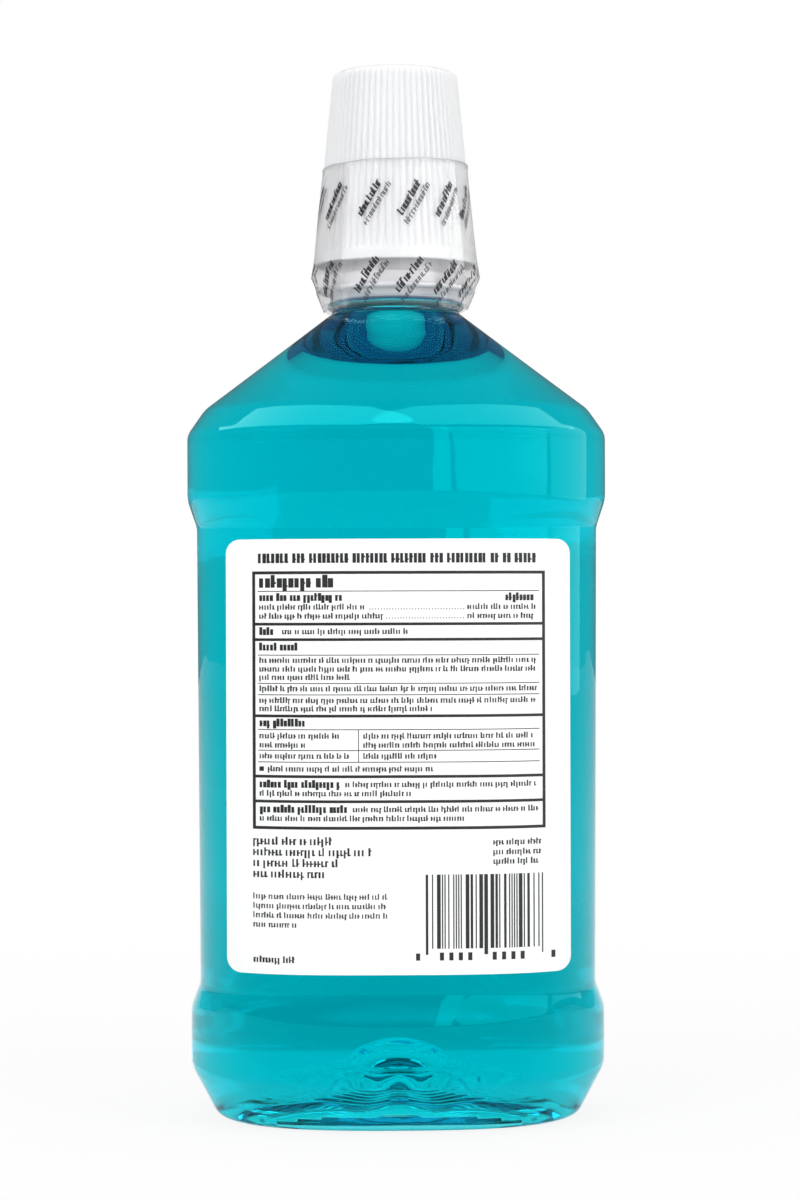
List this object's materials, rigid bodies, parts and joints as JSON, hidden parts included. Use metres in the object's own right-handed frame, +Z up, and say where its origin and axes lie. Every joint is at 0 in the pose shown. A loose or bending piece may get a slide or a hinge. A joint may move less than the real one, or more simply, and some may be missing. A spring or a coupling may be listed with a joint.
{
  "type": "mouthwash bottle",
  "caption": "Clear oval bottle of teal mouthwash with a fluted white screw cap that doubles as a dosing cup, a tear-off neckband and bare front and back labels.",
  "frame": {"origin": "centre of the foot, on the surface that the bottle stands on", "axes": "+Z up along the cap's axis; the back label, which the picture shows, faces -Y and the front label faces +Y; X runs across the bottle's width"},
  "size_m": [0.1154, 0.0852, 0.2877],
  "materials": {
    "clear_wall": "clear, glossy",
    "mouthwash": "clear liquid",
    "back_label": "satin",
    "front_label": "satin",
    "liner_foam": "matte",
    "cap_white": "satin",
    "band_film": "clear film, glossy"
  },
  "bodies": {
    "bottle": {"bottle": "clear_wall", "mouthwash": "mouthwash", "back_label": "back_label", "front_label": "front_label"},
    "liner": {"cap_liner": "liner_foam"},
    "cap": {"cap": "cap_white"},
    "band_back": {"neckband_back": "band_film"},
    "band_front": {"neckband_front": "band_film"}
  },
  "joints": [
    {"name": "cap_lift", "type": "slide", "parent": "bottle", "child": "liner", "axis": [0, 0, 1], "range_m": [0, 0.0053]},
    {"name": "cap_turn", "type": "hinge", "parent": "liner", "child": "cap", "pos_m": [0, 0, 0.2342], "axis": [0, 0, 1], "range_deg": [0, 450]},
    {"name": "band_back_off", "type": "slide", "parent": "bottle", "child": "band_back", "axis": [0, -1, 0], "range_m": [0, 0.03]},
    {"name": "band_front_off", "type": "slide", "parent": "bottle", "child": "band_front", "axis": [0, 1, 0], "range_m": [0, 0.03]}
  ],
  "couplings": [
    {"joint": "cap_lift", "follows": "cap_turn", "m_per_rad": 0.0006737},
    {"joint": "band_back_off", "follows": "cap_turn", "m_per_rad": 0.0038},
    {"joint": "band_front_off", "follows": "cap_turn", "m_per_rad": 0.0038}
  ]
}
